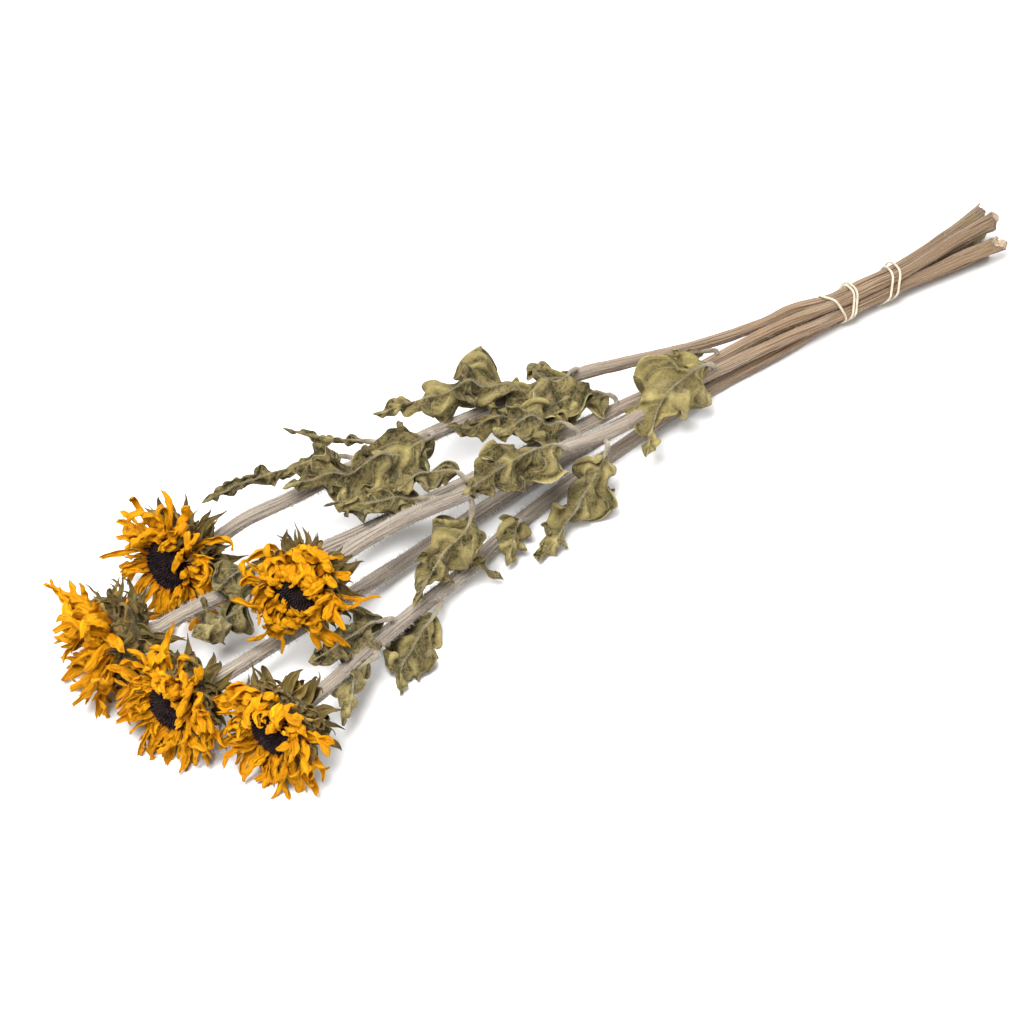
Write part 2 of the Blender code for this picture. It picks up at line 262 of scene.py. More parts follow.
def object_place(tree):
    return add_node(tree, "ShaderNodeTexCoord").outputs["Object"]


def stretched(tree, vector, scale):
    return add_node(tree, "ShaderNodeMapping", None, Vector=vector, Scale=scale).outputs["Vector"]


def remap(tree, value, low, high, to_low=0.0, to_high=1.0):
    node = add_node(tree, "ShaderNodeMapRange", None, i0=value, i1=low, i2=high, i3=to_low,
                    i4=to_high)
    return node.outputs["Result"]


def make_mottle_group():
    """Irregular patches: Mask goes from 0 to 1, more sharply as Contrast rises."""
    group = bpy.data.node_groups.new("mottle", "ShaderNodeTree")
    group.interface.new_socket("Vector", in_out="INPUT", socket_type="NodeSocketVector")
    for name in ("Scale", "Contrast", "Balance"):
        group.interface.new_socket(name, in_out="INPUT", socket_type="NodeSocketFloat")
    group.interface.new_socket("Mask", in_out="OUTPUT", socket_type="NodeSocketFloat")
    source = group.nodes.new("NodeGroupInput").outputs
    target = group.nodes.new("NodeGroupOutput")
    patches = add_node(group, "ShaderNodeTexNoise", None, Vector=source["Vector"],
                       Scale=source["Scale"], Detail=5.0, Roughness=0.62)
    centred = add_node(group, "ShaderNodeMath", {"operation": "SUBTRACT"},
                       i0=patches.outputs["Fac"], i1=source["Balance"])
    steep = add_node(group, "ShaderNodeMath", {"operation": "MULTIPLY_ADD", "use_clamp": True},
                     i0=centred.outputs[0], i1=source["Contrast"], i2=0.5)
    group.links.new(steep.outputs[0], target.inputs["Mask"])
    return group


MOTTLE = make_mottle_group()


def mottle(tree, vector, scale, contrast=3.0, balance=0.5):
    node = tree.nodes.new("ShaderNodeGroup")
    node.node_tree = MOTTLE
    tree.links.new(vector, node.inputs["Vector"])
    node.inputs["Scale"].default_value = scale
    node.inputs["Contrast"].default_value = contrast
    node.inputs["Balance"].default_value = balance
    return node.outputs["Mask"]


def bump(tree, shader, height, distance, strength=0.6):
    node = add_node(tree, "ShaderNodeBump", None, Height=height, Distance=distance,
                    Strength=strength)
    tree.links.new(node.outputs["Normal"], shader.inputs["Normal"])


def make_stem_material():
    material, tree, shader = new_material("stem_skin", 0.78, 0.15)
    place = object_place(tree)
    grain = attribute(tree, "grain", "Vector")
    fibres = mottle(tree, stretched(tree, grain, (5.0, 5.0, 26.0)), 1.0, 4.0)
    streaks = mottle(tree, stretched(tree, grain, (2.2, 2.2, 7.0)), 1.0, 5.0)
    peeled = mottle(tree, stretched(tree, grain, (3.5, 3.5, 14.0)), 1.0, 9.0, 0.64)
    brown = mix_colours(tree, streaks, (0.072, 0.039, 0.018), (0.225, 0.136, 0.070))
    brown = mix_colours(tree, fibres, brown, (0.37, 0.245, 0.142))
    grey = mix_colours(tree, streaks, (0.105, 0.080, 0.057), (0.28, 0.225, 0.175))
    grey = mix_colours(tree, fibres, grey, (0.42, 0.355, 0.285))
    separate = add_node(tree, "ShaderNodeSeparateXYZ", None, Vector=place)
    from_middle = separate.outputs["X"]
    aged = remap(tree, from_middle, -0.02, 0.14)
    skin = mix_colours(tree, aged, grey, brown)
    skin = mix_colours(tree, peeled, skin, (0.52, 0.42, 0.31))
    green = mottle(tree, place, 30.0, 8.0, 0.60)
    near_cut = remap(tree, from_middle, 0.305, 0.335)
    olive = add_node(tree, "ShaderNodeMath", {"operation": "MULTIPLY"}, i0=green, i1=near_cut)
    skin = mix_colours(tree, olive.outputs[0], skin, (0.27, 0.235, 0.08))
    stained = remap(tree, from_middle, 0.26, 0.34, 0.0, 0.32)
    skin = mix_colours(tree, stained, skin, (0.13, 0.078, 0.040))
    tree.links.new(skin, shader.inputs["Base Color"])
    tree.links.new(remap(tree, fibres, 0, 1, 0.9, 0.66), shader.inputs["Roughness"])
    bump(tree, shader, fibres, 0.0005, 0.8)
    return material


def make_pith_material():
    material, tree, shader = new_material("cut_pith", 0.9)
    place = object_place(tree)
    colour = mix_colours(tree, mottle(tree, place, 700.0), (0.36, 0.25, 0.15), (0.66, 0.54, 0.41))
    tree.links.new(colour, shader.inputs["Base Color"])
    bump(tree, shader, mottle(tree, place, 1500.0), 0.0004)
    return material


def make_stem(stem, materials):
    """A ridged tube along a stem's route. Its first rings are the pith, sunk into the cut end."""
    route = smooth_stems[stem]
    rng = random.Random(40 + int(stem))
    turn, split_at, squash_at = [rng.uniform(0, 2 * math.pi) for _ in range(3)]
    slant, slant_at = STEM_CUTS[stem]
    lengths = [0.0]
    for a, b in zip(route, route[1:]):
        lengths.append(lengths[-1] + (b - a).length)

    def travelled(k):
        return lengths[max(k - PITH_RINGS, 0)]

    def place(k, angle):
        on_route = max(k - PITH_RINGS, 0)
        centre = route[on_route]
        along, side, top = directions(route, on_route)
        out = side * math.cos(angle) + top * math.sin(angle)
        seen = Vector((math.cos(angle), math.sin(angle), lengths[on_route] / 14 + 7 * int(stem)))
        ridge = math.cos(STEM_RIDGES * angle + turn + lengths[on_route] / 60)
        uneven = RIDGE_HEIGHT * ridge + BUMP_HEIGHT * noise.noise(seen)
        radius = stem_radius(centre.x) * (1 + uneven)
        from_cut = lengths[on_route]
        flare = max(0.0, 1 - from_cut / FLARE_REACH) ** 2
        radius *= 1 + flare * (0.06 + 0.22 * math.cos(2 * (angle - squash_at)))
        near_cut = max(0.0, 1 - from_cut / CUT_REACH)
        round_stem = Vector((3 * math.cos(angle), 3 * math.sin(angle), int(stem)))
        ragged = RIM_TEARS * noise.noise(round_stem)
        split = RIM_SPLIT * math.exp(-(math.sin((angle - split_at) / 2) / 0.22) ** 2)
        slanted = slant * radius * (1 + math.cos(angle - math.radians(slant_at)))
        pull = near_cut * (ragged + split + slanted)
        depth = 0.0
        if k < PITH_RINGS:
            radius *= PITH_RADII[k]
            depth = PITH_DEPTHS[k]
        return above_floor(centre + along * (pull + depth) + out * radius, STEM_FLOOR_GAP)

    bm = bmesh.new()
    roll_tube(bm, len(route) + PITH_RINGS, STEM_SIDES, place, travelled, PITH_RINGS + 1)
    finish_piece(f"stem_{stem}_skin", bm, materials, [f"stem_{stem}"])


smooth_stems = {stem: stem_route(stem, STEM_STEP) for stem in STEMS}
stem_materials = [make_stem_material(), make_pith_material()]
for stem in STEMS:
    make_stem(stem, stem_materials)

# -------------------------------------------------------------------------------- stem hairs
# Dried sunflower stems keep a felt of short stiff hairs, thick below the flower and worn off where
# the bunch is held. Each hair is a slim spike that grows out of the skin.

HAIR_LENGTH = (1.2, 3.0)
HAIR_RADIUS = 0.15
HAIR_SIDES = 3
HAIR_LEAN = 0.45                    # how far a hair's direction strays from straight out
HAIRS_PER_STEP = 55                 # near the flower
HAIRS_WORN = 0.05                   # the share of them that is left where the bunch is held


def add_hair(bm, root, heading, length):
    """A three-sided spike from a point in millimetres, left out where it would pierce the floor."""
    if (root + heading * length).z < HAIR_RADIUS or root.z < 2 * HAIR_RADIUS:
        return
    turn = heading.to_track_quat("Z", "Y").to_matrix().to_4x4()
    spot = metres(root + heading * (length * 0.45))
    bmesh.ops.create_cone(bm, segments=HAIR_SIDES, radius1=HAIR_RADIUS * 0.001, radius2=0.0,
                          depth=length * 0.001, matrix=Matrix.Translation(spot) @ turn)


def make_hair_material():
    material, tree, shader = new_material("pale_hair", 0.7, 0.3)
    place = object_place(tree)
    colour = mix_colours(tree, mottle(tree, place, 90.0), (0.32, 0.27, 0.215), (0.60, 0.54, 0.46))
    tree.links.new(colour, shader.inputs["Base Color"])
    return material


def random_direction(rng):
    return Vector((rng.gauss(0, 1), rng.gauss(0, 1), rng.gauss(0, 1))).normalized()


hair_material = make_hair_material()
for stem in STEMS:
    rng = random.Random(70 + int(stem))
    route = smooth_stems[stem]
    bm = bmesh.new()
    for k in range(1, len(route) - 1):
        x = route[k].x
        share = ease(1.0, HAIRS_WORN, (x + 20) / 220)
        _, side, top = directions(route, k)
        for _ in range(round(HAIRS_PER_STEP * share)):
            angle = rng.uniform(0, 2 * math.pi)
            out = side * math.cos(angle) + top * math.sin(angle)
            root = route[k].lerp(route[k + 1], rng.random()) + out * stem_radius(x)
            heading = (out + HAIR_LEAN * random_direction(rng)).normalized()
            add_hair(bm, root, heading, rng.uniform(*HAIR_LENGTH))
    finish_piece(f"stem_{stem}_hairs", bm, [hair_material], [])

# ------------------------------------------------------------------------------------ leaves
# Leaves that dried on the stem: thin blades folded along the midrib, rolled at their edges and
# crumpled between the veins, olive above and paler, greyer below. Each hangs from a hairy petiole
# that runs on as the midrib under the blade.

LEAVES = {
    "leaf_01": {"stem": "1", "x": 100, "way": (0, -0.3, 1), "upper": (0, -0.5, 1), "width": 31,
                "midrib": [(94, 68, 43), (76, 61, 48), (26, 74, 60), (-26, 93, 53)]},
    "leaf_02": {"stem": "3", "x": 112, "way": (0, 0.2, 1), "upper": (0, -0.5, 1), "width": 27,
                "midrib": [(106, 50, 32), (90, 52, 38), (45, 55, 42), (3, 66, 46)]},
    "leaf_03": {"stem": "2", "x": 177, "way": (0, -0.3, 1), "upper": (-0.4, -0.6, 0.7), "width": 28,
                "tone_and_painted_shade": 0.95,
                "midrib": [(171, 37, 32), (151, 31, 37), (124, 23, 33), (97, 2, 20)]},
    "leaf_04": {"stem": "1", "x": -50, "way": (0, 1, 0.1), "upper": (0, -0.5, 1), "width": 12,
                "tone_and_painted_shade": 0.05,
                "midrib": [(-62, 88, 42), (-100, 102, 37), (-131, 110, 29)]},
    "leaf_05": {"stem": "1", "x": -34, "way": (0, 0.5, 1), "upper": (0, -0.5, 1), "width": 6,
                "midrib": [(-42, 82, 48), (-60, 95, 51), (-77, 110, 56)]},
    "leaf_06": {"stem": "1", "x": -5, "way": (0, -0.6, 0.8), "upper": (0, -0.5, 1), "width": 28,
                "midrib": [(-14, 60, 49), (-66, 55, 58), (-104, 68, 53)]},
    "leaf_07": {"stem": "2", "x": -20, "way": (0, 0.4, 0.9), "upper": (0.3, -0.3, 1), "width": 18,
                "midrib": [(-26, 20, 60), (-42, 26, 62), (-60, 28, 54)]},
    "leaf_08": {"stem": "2", "x": 48, "way": (0, -0.7, 0.7), "upper": (0, -0.7, 0.8), "width": 25,
                "midrib": [(36, 14, 51), (8, 8, 58), (-34, 2, 57)]},
    "leaf_09": {"stem": "2", "x": 64, "way": (0, 0.5, 0.9), "upper": (0, -0.5, 1), "width": 26,
                "midrib": [(56, 30, 48), (38, 33, 56), (14, 34, 57)]},
    "leaf_10": {"stem": "2", "x": 80, "way": (0, -0.8, -0.2), "upper": (-0.3, -0.7, 0.6), "width": 25,
                "tone_and_painted_shade": 0.75,
                "midrib": [(73, 10, 28), (50, -3, 22), (25, -12, 12), (4, -19, 5)]},
    "leaf_11": {"stem": "5", "x": 82, "way": (0, -1, 0.2), "upper": (0, 0, 1), "width": 6,
                "midrib": [(76, 14, 9), (68, 2, 6), (60, -7, 3)]},
    "leaf_12": {"stem": "2", "x": -22, "way": (0, -0.8, -0.6), "upper": (-0.3, -0.7, 0.6),
                "width": 20, "midrib": [(-34, -5, 39), (-57, -13, 36), (-86, -28, 27)]},
    "leaf_13": {"stem": "5", "x": -40, "way": (0, 0, 1), "upper": (0.5, -0.3, 0.8), "width": 6,
                "midrib": [(-36, -10, 20), (-28, -16, 15), (-22, -22, 7)]},
    "leaf_14": {"stem": "5", "x": -66, "way": (0, -1, 0.2), "upper": (0, 0.1, 1), "width": 24,
                "midrib": [(-81, -31, 11), (-100, -40, 9), (-116, -57, 4)]},
    "leaf_15": {"stem": "5", "x": -122, "way": (0, -1, 0), "upper": (0.3, -0.6, 0.7), "width": 17,
                "midrib": [(-133, -50, 28), (-147, -60, 26), (-158, -72, 18)]},
    "leaf_16": {"stem": "2", "x": -40, "way": (0, 1, 0), "upper": (0, -0.5, 1), "width": 20,
                "midrib": [(-52, 26, 48), (-70, 42, 45), (-88, 52, 43)]},
    "leaf_17": {"stem": "5", "x": 15, "way": (0, -0.8, 0.6), "upper": (0, -0.6, 0.9), "width": 16,
                "midrib": [(8, 4, 16), (-3, -6, 16), (-14, -14, 8)]},
    "leaf_18": {"stem": "3", "x": -150, "way": (0, -1, 0), "upper": (0, -0.6, 0.8), "width": 22,
                "midrib": [(-160, 22, 32), (-176, 17, 34), (-193, 18, 32)]},
    "leaf_19": {"stem": "3", "x": -134, "way": (0, 0.4, 0.9), "upper": (0, -0.6, 0.8), "width": 21,
                "midrib": [(-142, 38, 41), (-156, 34, 44), (-172, 28, 44)]},
    "leaf_20": {"stem": "5", "x": -100, "way": (0, 0, 1), "upper": (-0.2, -0.5, 0.9), "width": 23,
                "midrib": [(-109, -31, 32), (-128, -36, 38), (-160, -42, 39)]},
    "leaf_21": {"stem": "3", "x": 192, "way": (0, 0.1, 1), "upper": (0, -0.5, 0.9), "width": 6,
                "midrib": [(186, 54, 25), (176, 56, 27), (162, 58, 27)]},
}
BLADE_COLUMNS = 26                  # even, so that one column lies on the midrib
BLADE_STEP = 1.7                    # millimetres between a blade's rows
BLADE_THICKNESS = 0.35
VEIN_SPACING = 8.0
VEIN_SLANT = 0.9                    # how far a side vein runs forward on its way to the edge
BLADE_FROM_STEM = 9                 # millimetres of petiole before the blade starts
BLADE_CRUMPLE = 3.8
BLADE_PUCKER = 2.3                  # millimetres that the edge is pulled along
BLADE_WAVE = 0.36                   # how far the midrib waves up and down, of the blade's width
QUILT_HEIGHT = 0.7
CREASE_HEIGHT = 6.4
BLADE_SHADE = 0.50                  # higher is lighter; a leaf may have its own
# painted shade and light: how strongly the crease value darkens the leaf colour in the valleys and
# lightens it on the ridges
PAINTED_CREASE_SHADE = 1.9
PETIOLE_RADIUS = 1.5
TIP_RADIUS = 0.35
PETIOLE_HAIRS = 12                  # in each step
MIDRIB_HAIRS = 3


def stem_surface(stem, x, way):
    """The point on a stem's skin at x that lies a way from its axis, and its outward direction."""
    route = smooth_stems[stem]
    before, after = next(pair for pair in zip(route, route[1:]) if pair[0].x >= x > pair[1].x)
    along = (after - before).normalized()
    outward = Vector(way)
    outward = (outward - along * outward.dot(along)).normalized()
    centre = before.lerp(after, (x - before.x) / (after.x - before.x))
    return centre + outward * stem_radius(x), outward


def leaf_section(width, fold, seed, travelled):
    """(sideways, up) of each column of a blade, a distance along it. Either half falls away from the
    midrib, rolls towards its edge and is crumpled."""
    half = BLADE_COLUMNS // 2
    halves = []
    for way in (-1, 1):
        roll = 0.5 + 3.0 * noise.noise(Vector((travelled / 55, 5 * way, seed)))
        lean = fold + 1.1 * noise.noise(Vector((travelled / 45, 3 * way, seed + 50)))
        curl = 0.8 + 3.2 * noise.noise(Vector((travelled / 27, 7 * way, seed + 90)))
        sideways = up = 0.0
        run = [(0.0, 0.0)]
        for j in range(1, half + 1):
            t = j / half
            vein = (travelled - VEIN_SLANT * t * width) / 9
            crumple = BLADE_CRUMPLE * noise.noise(Vector((2.2 * t * way, vein, seed + 20)))
            angle = lean + roll * t * t + curl * t ** 5 + crumple * min(1.0, 3 * t)
            sideways += width / half * math.cos(angle)
            up -= width / half * math.sin(angle)
            run.append((way * sideways, up))
        halves.append(run)
    return [*reversed(halves[0][1:]), *halves[1]]


def make_blade(name, leaf, route, seed, materials):
    """The blade of a leaf along a route. Its leaf layer holds millimetres from the midrib, the place
    between side veins, and how near the edge it is; its other layer holds the leaf's tone plus painted
    shade, dark in the crease valleys and light on the ridges."""
    rows = len(route) - 1
    length = sum((b - a).length for a, b in zip(route, route[1:]))
    frames = []
    sections = []
    for k in range(rows + 1):
        v = k / rows
        along = (route[min(k + 1, rows)] - route[max(k - 1, 0)]).normalized()
        upper = Vector(leaf["upper"])
        upper = (upper - along * upper.dot(along)).normalized()
        roll = Matrix.Rotation(0.7 * noise.noise(Vector((2 * v, seed, 3))), 3, along)
        upper = roll @ upper
        frames.append((along, along.cross(upper), upper))
        teeth = 0.04 * abs(math.sin(math.pi * v * length / 6))
        teeth += 0.13 * noise.noise((9 * v, seed, 0))
        width = leaf["width"] * (math.sin(math.pi * v ** 0.62) ** 0.8 if 0 < v < 1 else 0.0)
        fold = 0.4 + 0.8 * noise.noise(Vector((3 * v, seed, 7)))
        sections.append((width, leaf_section(width * (1 + teeth), fold, seed, v * length)))

    bm = bmesh.new()
    layer = bm.verts.layers.float_vector.new("leaf")
    tone_and_painted_shade = bm.verts.layers.float.new("tone_and_painted_shade")
    bmesh.ops.create_grid(bm, x_segments=BLADE_COLUMNS, y_segments=rows, size=1.0)
    half = BLADE_COLUMNS // 2
    for vert in bm.verts:
        column = round((vert.co.x + 1) * half)
        k = round((vert.co.y + 1) / 2 * rows)
        share = abs(column - half) / half
        along, side, upper = frames[k]
        width, section = sections[k]
        sideways, up = section[column]
        flat = width * (column - half) / half
        travelled = k / rows * length
        pucker = BLADE_PUCKER * share
        pucker *= noise.noise(Vector((flat / 6, travelled / 6, seed + 80)))
        vert.co = route[k] + side * sideways + upper * up + along * pucker
        vert[layer] = (flat, travelled - VEIN_SLANT * abs(flat), share)
    bm.normal_update()
    moves = []
    for vert in bm.verts:
        flat, between, share = vert[layer]
        quilt = QUILT_HEIGHT * abs(math.sin(math.pi * between / VEIN_SPACING))
        creases = noise.turbulence(Vector((flat / 19, between / 8, seed)), 3, True) - 0.6
        fine = noise.noise(Vector((flat / 2.2, between / 3.2, seed)))
        near_rib = min(1.0, abs(flat) / 3)
        # painted shade: the leaf's own tone, darkened in the crease valleys and lightened on the ridges
        vert[tone_and_painted_shade] = leaf.get("tone_and_painted_shade", BLADE_SHADE) + PAINTED_CREASE_SHADE * creases
        moves.append(vert.normal * near_rib * (quilt + CREASE_HEIGHT * creases + fine))
    for vert, move in zip(bm.verts, moves):
        vert.co = metres(above_floor(vert.co + move))
    for face in bm.faces:
        face.smooth = True
    piece = finish_piece(f"{name}_blade", bm, materials, [name])
    solid = piece.modifiers.new("thickness", "SOLIDIFY")
    solid.thickness = BLADE_THICKNESS * 0.001
    solid.offset = 0
    solid.material_offset = 1
    soft = piece.modifiers.new("soft", "SUBSURF")
    soft.levels = soft.render_levels = 1


def make_rib(name, route, blade_start, upper, seed, material):
    """The petiole, and the midrib that runs on under the blade, one tube that tapers to the tip."""
    count = round(0.9 * len(route))
    sunk = Vector(upper).normalized()

    def place(k, angle):
        _, side, top = directions(route, k)
        share = max(0.0, (k - blade_start) / (count - blade_start))
        radius = PETIOLE_RADIUS + (TIP_RADIUS - PETIOLE_RADIUS) * share ** 0.22
        radius *= 1 + 0.14 * math.cos(3 * angle) + 0.15 * noise.noise(route[k] / 5)
        centre = route[k] - sunk * 0.9 * min(1.0, 5 * share)
        return above_floor(centre + (side * math.cos(angle) + top * math.sin(angle)) * radius)

    bm = bmesh.new()
    roll_tube(bm, count, 9, place, lambda k: BLADE_STEP * k)
    rng = random.Random(seed)
    for k in range(1, count - 1):
        for _ in range(PETIOLE_HAIRS if k < blade_start else MIDRIB_HAIRS):
            out = random_direction(rng)
            add_hair(bm, route[k] + out * 0.5, out, rng.uniform(1.0, 2.0))
    finish_piece(f"{name}_rib", bm, [material], [])


def make_leaf_material(name, dark, light, vein_colour, dull):
    """Leaf skin: patchy colour with painted shade in the crease valleys and painted light on the
    ridges, with the veins, fine net and edges standing out paler.
    """
    material, tree, shader = new_material(name, 0.85, 0.04)
    place = object_place(tree)
    parts = add_node(tree, "ShaderNodeSeparateXYZ", None, Vector=attribute(tree, "leaf", "Vector"))
    across = add_node(tree, "ShaderNodeMath", {"operation": "ABSOLUTE"}, i0=parts.outputs["X"])
    to_vein = add_node(tree, "ShaderNodeMath", {"operation": "PINGPONG"}, i0=parts.outputs["Y"],
                       i1=VEIN_SPACING / 2)
    veins = remap(tree, to_vein.outputs[0], 0.1, 0.8, 0.4, 0.0)
    rib = remap(tree, across.outputs[0], 0.3, 1.1, 0.45, 0.0)
    edge = remap(tree, parts.outputs["Z"], 0.93, 1.0)
    net = add_node(tree, "ShaderNodeTexVoronoi", {"feature": "DISTANCE_TO_EDGE"}, Vector=place,
                   Scale=420.0)
    fine = remap(tree, net.outputs["Distance"], 0.02, 0.16, 0.22, 0.0)
    pale = fine
    for mask in (veins, rib, edge):
        pale = add_node(tree, "ShaderNodeMath", {"operation": "MAXIMUM"}, i0=pale, i1=mask).outputs[0]
    # the vertex layer adds painted shade in the crease valleys and painted light on the ridges to the
    # leaf's tone
    patches = add_node(tree, "ShaderNodeMath", {"operation": "MULTIPLY_ADD"},
                       i0=mottle(tree, place, 45.0, 2.2), i1=0.5, i2=attribute(tree, "tone_and_painted_shade"))
    skin = mix_colours(tree, remap(tree, patches.outputs[0], 0.2, 1.2), dark, light)
    skin = mix_colours(tree, mottle(tree, place, 210.0, 3.5, 0.58), skin, dull)
    faded = add_node(tree, "ShaderNodeMath", {"operation": "MULTIPLY"}, i0=pale,
                     i1=remap(tree, mottle(tree, place, 60.0), 0, 1, 0.2, 0.9))
    tree.links.new(mix_colours(tree, faded.outputs[0], skin, vein_colour), shader.inputs["Base Color"])
    height = add_node(tree, "ShaderNodeMath", {"operation": "ADD"}, i0=pale,
                      i1=mottle(tree, place, 330.0))
    bump(tree, shader, height.outputs[0], 0.0007, 0.9)
    return material


def make_rib_material():
    """Grey like the stem by the stem, and olive like the blade farther on."""
    material, tree, shader = new_material("leaf_rib", 0.8, 0.3)
    patches = mottle(tree, object_place(tree), 160.0)
    grain = add_node(tree, "ShaderNodeSeparateXYZ", None, Vector=attribute(tree, "grain", "Vector"))
    grey = mix_colours(tree, patches, (0.15, 0.115, 0.078), (0.36, 0.30, 0.225))
    olive = mix_colours(tree, patches, (0.10, 0.085, 0.035), (0.25, 0.215, 0.105))
    from_stem = remap(tree, grain.outputs["Z"], 0.008, 0.022)
    tree.links.new(mix_colours(tree, from_stem, grey, olive), shader.inputs["Base Color"])
    return material


leaf_materials = [
    make_leaf_material("leaf_upper", (0.036, 0.029, 0.008), (0.345, 0.282, 0.105),
                       (0.50, 0.425, 0.20), (0.19, 0.138, 0.052)),
    make_leaf_material("leaf_under", (0.065, 0.051, 0.019), (0.375, 0.312, 0.142),
                       (0.50, 0.425, 0.22), (0.18, 0.134, 0.062)),
]
rib_material = make_rib_material()
for seed, (name, leaf) in enumerate(LEAVES.items()):
    start, outward = stem_surface(leaf["stem"], leaf["x"], leaf["way"])
    route = smooth_route([start - outward, start + outward * 3, *leaf["midrib"]], BLADE_STEP)
    blade_start = next(k for k, p in enumerate(route) if (p - route[0]).length > BLADE_FROM_STEM)
    for k in range(blade_start, len(route)):
        share = (k - blade_start) / (len(route) - blade_start)
        wave = noise.noise(Vector((k * BLADE_STEP / 16, seed, 11))) * min(1, 5 * share)
        route[k] += Vector(leaf["upper"]).normalized() * BLADE_WAVE * leaf["width"] * wave
    make_blade(name, leaf, route[blade_start:], 10 * seed, leaf_materials)
    make_rib(name, route, blade_start, leaf["upper"], seed, rib_material)

# ---------------------------------------------------------------------------------- calyces
# The green parts behind each flower: a domed receptacle on the stem's end, and rows of pointed
# bracts that have dried to grey-brown, their thin tips hooked. A few broad ones stay ochre.

RECEPTACLE = [(3.2, -23.5), (5.5, -22.5), (9.5, -20.5), (14.5, -17), (18.5, -12.5), (20.2, -8.5),
              (18.5, -5.5), (9, -4.6), (0.5, -4.4)]
BRACT_ROWS = [
    {"count": 12, "radius": 8.0, "height": -21.5, "length": (16, 26), "width": 3.6, "pitch": 128},
    {"count": 17, "radius": 13.0, "height": -18.0, "length": (15, 23), "width": 3.8, "pitch": 108},
    {"count": 21, "radius": 17.0, "height": -14.0, "length": (15, 23), "width": 4.2, "pitch": 90},
    {"count": 24, "radius": 19.0, "height": -10.0, "length": (13, 21), "width": 3.8, "pitch": 68},
    {"count": 20, "radius": 18.5, "height": -7.0, "length": (11, 17), "width": 3.0, "pitch": 48},
]
BRACT_GRID = (6, 10)
BRACT_THICKNESS = 0.4
OCHRE_SHARE = 0.22                  # of the bracts
RECEPTACLE_STEP = 1.6
RECEPTACLE_SIDES = 40
RECEPTACLE_HAIRS = 1500
RIBBON_BENDS = 3.4                  # how unevenly a ribbon bends, in radians
RIBBON_SWAYS = 2.4


def head_place(head, angle, radius, height):
    """A point round a head's axis, in millimetres at the standard head size."""
    centre, facing, side, top = head_axes(head)
    out = side * math.cos(angle) + top * math.sin(angle)
    return centre + (out * radius + facing * height) * HEADS[head]["size"]


def head_heading(head, angle, pitch):
    """The direction at a pitch from the head's facing, out at an angle round it, and the direction
    square to that on the side of the head's face."""
    _, facing, side, top = head_axes(head)
    out = side * math.cos(angle) + top * math.sin(angle)
    return (facing * math.cos(pitch) + out * math.sin(pitch),
            facing * math.sin(pitch) - out * math.cos(pitch))


def add_ribbon(bm, root, heading, upper, shape, grid, seed):
    """A petal or a bract, in millimetres: a strip that grows from root along heading, and bends
    towards upper, sways, twists and sags on its way. Its section is an arc of `cup` radians each
    way, with `pleats`. The ribbon layer holds across, along and a tint of its own."""
    columns, rows = grid
    layer = bm.verts.layers.float_vector.get("ribbon") or bm.verts.layers.float_vector.new("ribbon")
    along, up = heading.normalized(), upper.normalized()
    place = root.copy()
    step = shape["length"] / rows
    spine = []
    for k in range(rows + 1):
        t = k / rows
        side = along.cross(up).normalized()
        spine.append((place.copy(), along.copy(), side, up.copy()))
        bend = shape["bend"] * (0.4 + 1.2 * t) + RIBBON_BENDS * noise.noise((3 * t, seed, 1))
        bend += 4 * shape["hook"] * t ** 3
        sway = shape["sway"] + RIBBON_SWAYS * noise.noise((3 * t, seed, 2))
        turn = Matrix.Rotation(bend / rows, 3, side) @ Matrix.Rotation(sway / rows, 3, up)
        turn = turn @ Matrix.Rotation(shape["twist"] / rows, 3, along)
        along, up = turn @ along, turn @ up
        along = (along + Vector((0, 0, -shape["sag"] / rows))).normalized()
        up = (up - along * up.dot(along)).normalized()
        place += along * step
    verts = bmesh.ops.create_grid(bm, x_segments=columns, y_segments=rows, size=1.0)["verts"]
    for vert in verts:
        u = vert.co.x
        k = round((vert.co.y + 1) / 2 * rows)
        t = k / rows
        centre, along, side, up = spine[k]
        half = shape["width"] * max(0.05, shape["outline"](t))
        half *= 1 + 0.4 * noise.noise(Vector((6 * t, seed, 3)))
        cup = shape["cup"] * (1 + 0.6 * noise.noise(Vector((2.5 * t, seed, 4))))
        across = half * math.sin(cup * u) / cup
        lift = half * (1 - math.cos(cup * u)) / cup
        pleat = math.cos(2.6 * math.pi * u + 6 * noise.noise((2 * t, seed, 5)))
        lift += shape["pleats"] * half * pleat
        crumple = half * noise.noise(Vector((2.4 * u, 7 * t, seed)))
        ragged = shape["ragged"] * t ** 8 * noise.noise(Vector((3 * u, seed, 6)))
        spot = centre + side * across + up * (lift + crumple) + along * ragged
        vert.co = metres(above_floor(spot))
        vert[layer] = (u, t, shape["tint"])
        for face in vert.link_faces:
            face.smooth = True


def thicken(piece, thickness):
    solid = piece.modifiers.new("thickness", "SOLIDIFY")
    solid.thickness = thickness * 0.001
    solid.offset = 0
    soft = piece.modifiers.new("soft", "SUBSURF")
    soft.levels = soft.render_levels = 1


def bract_outline(t):
    """Broad near the root, drawn out to a thread at the tip."""
    return math.sin(math.pi * (0.12 + 0.88 * t) ** 0.6) ** 1.4 if t < 1 else 0.0


